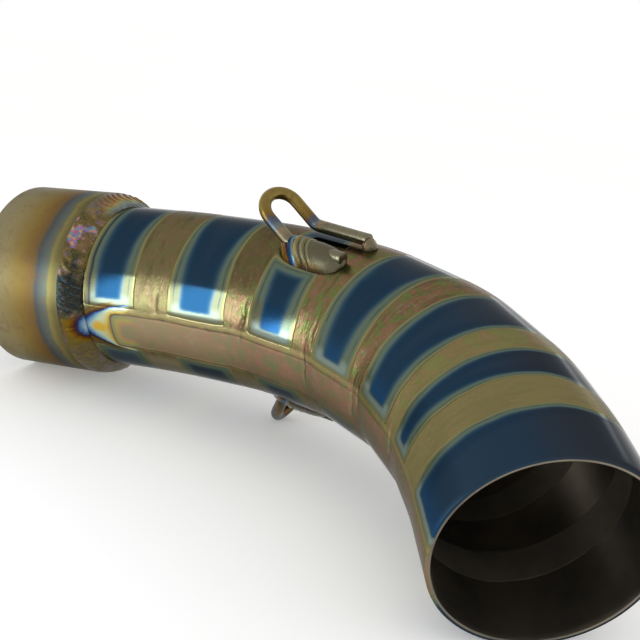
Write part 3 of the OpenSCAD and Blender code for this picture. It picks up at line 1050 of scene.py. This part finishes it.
def tackBead(name, which):
    middle = hook["leg"]

    def plan(t, w):
        return planOf(which, middle + t * tackWeld["long"] / 2,
                      hook["half"] + w * tackWeld["wide"] / 2 * math.sqrt(1.05 - t * t))

    rise = (legHeight(1) + 0.3 * hook["wire"] / 2
            - tubeTop(planOf(which, middle, hook["half"])))

    def height(t, w, point):
        lump = math.sqrt(max(0.0, (1 - t * t) * (1 - w * w)))
        return tackWeld["toe"] + (rise + 0.16 * math.sin(t * 9)) * lump

    return layBead(name, which, tackWeld["rows"], tackWeld["columns"], plan, height,
                   lambda t, w: (t, w, 0), tackWeld["clearance"])


def longBeadTint():
    # gold and dark blue where the bead starts, crescents with painted rose and green
    # glints on their crests and painted shade in their valleys, then a smooth grey-brown end
    finish = Finish("longBeadTint", Metallic=1.0)
    note = finish.notedPlace("onBead")
    length, bowed, across = finish.split(note)
    wander = finish.noise(note, 0.7, 3) - 0.5
    flecks = finish.noise(note, 2.2, 4, 0.65, 0.8)
    shifted = bowed + wander * 0.9
    colour = finish.ramp((shifted + 4) / 22, (
        (0.03, "#5d4a1e"), (0.085, "#86631a"), (0.140, "#73490f"), (0.163, "#2b2226"),
        (0.180, "#1b2848"), (0.225, "#1e4068"), (0.250, "#5a7f90"), (0.275, "#a8954e"),
        (0.31, "#8d7740"), (0.345, "#5f6150"), (0.42, "#6d6749"), (0.50, "#5c5843"),
        (0.60, "#5a5745"), (0.90, "#5e5a47"), (1.0, "#524e3a")))
    rippled = shifted.between(1.6, 2.6, 6.0, longWeld["rippledTo"])
    phase = (bowed / longWeld["pitch"]).maths("FRACT")
    # painted shade in the valleys between the crescents
    valleyShade = phase.fade(0.0, 0.16) + phase.ease(0.88, 1.0)
    # painted highlight: rose and green glints on the crescents' crests
    crestGlints = finish.ramp(flecks, ((0.40, "#7f9a68"), (0.50, "#8d8564"), (0.60, "#a87a78")))
    colour = finish.blend(rippled * phase.line(0.42, 0.3) * 0.75, colour, crestGlints)
    colour = finish.over(colour, rippled * valleyShade * 0.85, "#23211d")
    skirt = across.fade(-0.95, -0.7) * shifted.between(1.0, 3.0, 8, 12)
    colour = finish.over(colour, skirt * 0.92, "#33230f")
    scorched = shifted.fade(0.0, 0.6) * flecks.ease(0.5, 0.6)
    colour = finish.over(colour, scorched * 0.6, "#2c1c0e")
    colour = finish.over(colour, flecks.ease(0.56, 0.7) * 0.3, "#8c8468")
    finish.set("Base Color", colour)
    finish.set("Roughness", flecks * 0.18 + 0.16 + shifted.ease(7, 9) * 0.06)
    finish.relief(flecks + finish.noise(note, 0.9, 2) * 0.6, 0.06, 0.5)
    return finish.material


def tackTint():
    # a rough skin: dull bronze with gold ticks and a few small coloured crystals
    finish = Finish("hookWeldSkin", Metallic=1.0)
    place = finish.placeInMillimetres()
    patches = finish.noise(place, 0.264, 4, 0.62, 0.5)
    flecks = finish.noise(place, 1.32, 4, 0.7, 1.0)
    colour = finish.ramp(patches * 0.65 + flecks * 0.35, (
        (0.30, "#4a4a42"), (0.40, "#5f5c4c"), (0.48, "#736b56"), (0.56, "#7c6a4c"),
        (0.64, "#6f7264"), (0.72, "#8a7f66")))
    ticks = finish.noise(place, 2.2, 3, 0.75, 2.0).ease(0.60, 0.70)
    colour = finish.over(colour, ticks * 0.8, "#b7872f")
    shimmer = finish.crystals(place, 1.5, (
        (0.0, "#5b8f8c"), (0.3, "#8a5f93"), (0.5, "#b06a7a"), (0.7, "#b09a58"),
        (1.0, "#4f7fa0")))
    where = finish.noise(place, 0.16, 3, 0.5).ease(0.54, 0.64)
    colour = finish.blend(where * 0.35, colour, shimmer)
    finish.set("Base Color", colour)
    finish.set("Roughness", flecks * 0.3 + 0.2)
    finish.relief(flecks + patches * 0.5, 0.14, 0.8)
    return finish.material


longBeadSkin = longBeadTint()
tackSkin = tackTint()
for nameStart, node, which in (("upper", "upper_hook", upperHook),
                               ("lower", "lower_hook", lowerHook)):
    finished(longBead(nameStart + "HookLongWeld", which), node + "_long_weld",
             longBeadSkin, 70)
    finished(tackBead(nameStart + "HookTackWeld", which), node + "_tack_weld",
             tackSkin, 50)

# Floor, light and view
studio = {
    "floorSize": 6.0, "floorMiddle": (0.08, -0.04), "floorColours": ("#f4f3f1", "#f8f8f7"),
    "floorGlow": 0.18,
    "roomAtHorizon": 1.0, "roomOverhead": 0.85, "fadeFrom": 0.12, "fadeTo": 0.95,
    "lampsAimAt": (80, -20, 5),
}
# A panel: its lowest left corner, the edge that leans away from there, its width
# along a second direction, and how many times brighter than the room it is
keyPanel = {"corner": (-22, -100, -24), "edge": (-83, -100, 117), "wide": 60, "bright": 7.2,
            "colour": (0.80, 0.93, 1.0)}
backPanel = {"corner": (250, 260, 62), "edge": (3, 9, 34), "wide": 420, "bright": 1.4,
             "colour": (1.0, 1.0, 1.0)}


def layFloor(box):
    clearSelection()
    bpy.ops.mesh.primitive_plane_add(size=studio["floorSize"],
                                     location=(*studio["floorMiddle"], box[0].z))
    floor = named("floor")
    finish = Finish("paleFloor", Roughness=0.9)
    tone = finish.noise(finish.objectPlace(), 3.0, 2)
    finish.set("Base Color", finish.ramp(tone, tuple(zip((0.3, 0.7), studio["floorColours"]))))
    # a little of its own light for the camera and for reflections, so it reads as white
    seen = finish.add("ShaderNodeLightPath")
    glow = (Value(finish, seen.outputs["Is Camera Ray"])
            + Value(finish, seen.outputs["Is Glossy Ray"])
            + Value(finish, seen.outputs["Is Transmission Ray"]))
    finish.set("Emission Color", finish.blend(glow, paint("#000000"), paint("#ffffff")))
    finish.shader.inputs["Emission Strength"].default_value = studio["floorGlow"]
    floor.data.materials.append(finish.material)


def lightRoom():
    # an even pale room, a little darker overhead
    world = bpy.data.worlds.new("paleRoom")
    bpy.context.scene.world = world
    world.use_nodes = True
    tree = world.node_tree
    place = tree.nodes.new("ShaderNodeTexCoord")
    split = tree.nodes.new("ShaderNodeSeparateXYZ")
    fade = tree.nodes.new("ShaderNodeMapRange")
    fade.interpolation_type = "SMOOTHSTEP"
    for index, key in enumerate(("fadeFrom", "fadeTo", "roomAtHorizon", "roomOverhead")):
        fade.inputs[index + 1].default_value = studio[key]
    tree.links.new(place.outputs["Generated"], split.inputs[0])
    tree.links.new(split.outputs["Z"], fade.inputs[0])
    tree.links.new(fade.outputs[0], tree.nodes["Background"].inputs["Strength"])
    tree.nodes["Background"].inputs["Color"].default_value = (1, 1, 1, 1)


def addPanel(name, panel):
    edge, corner = Vector(panel["edge"]), Vector(panel["corner"])
    rise = edge.normalized()
    toPipe = Vector(studio["lampsAimAt"]) - corner
    across = rise.cross(toPipe).normalized()
    facing = across.cross(rise)
    size = (panel["wide"] * mm, edge.length * mm)
    data = bpy.data.lights.new(name, "AREA")
    data.shape = "RECTANGLE"
    data.size, data.size_y = size
    data.energy = math.pi * size[0] * size[1] * panel["bright"]
    data.color = panel["colour"]
    lamp = bpy.data.objects.new(name, data)
    bpy.context.scene.collection.objects.link(lamp)
    middle = (corner + edge / 2 - across * panel["wide"] / 2) * mm
    lamp.matrix_world = Matrix.Translation(middle) @ Matrix(
        (-across, rise, -facing)).transposed().to_4x4()
    lamp.visible_camera = False


layFloor(cadBox)
lightRoom()
addPanel("keyPanel", keyPanel)
addPanel("backPanel", backPanel)
bpy.context.scene.view_settings.view_transform = "Standard"
print("floor and lights placed")
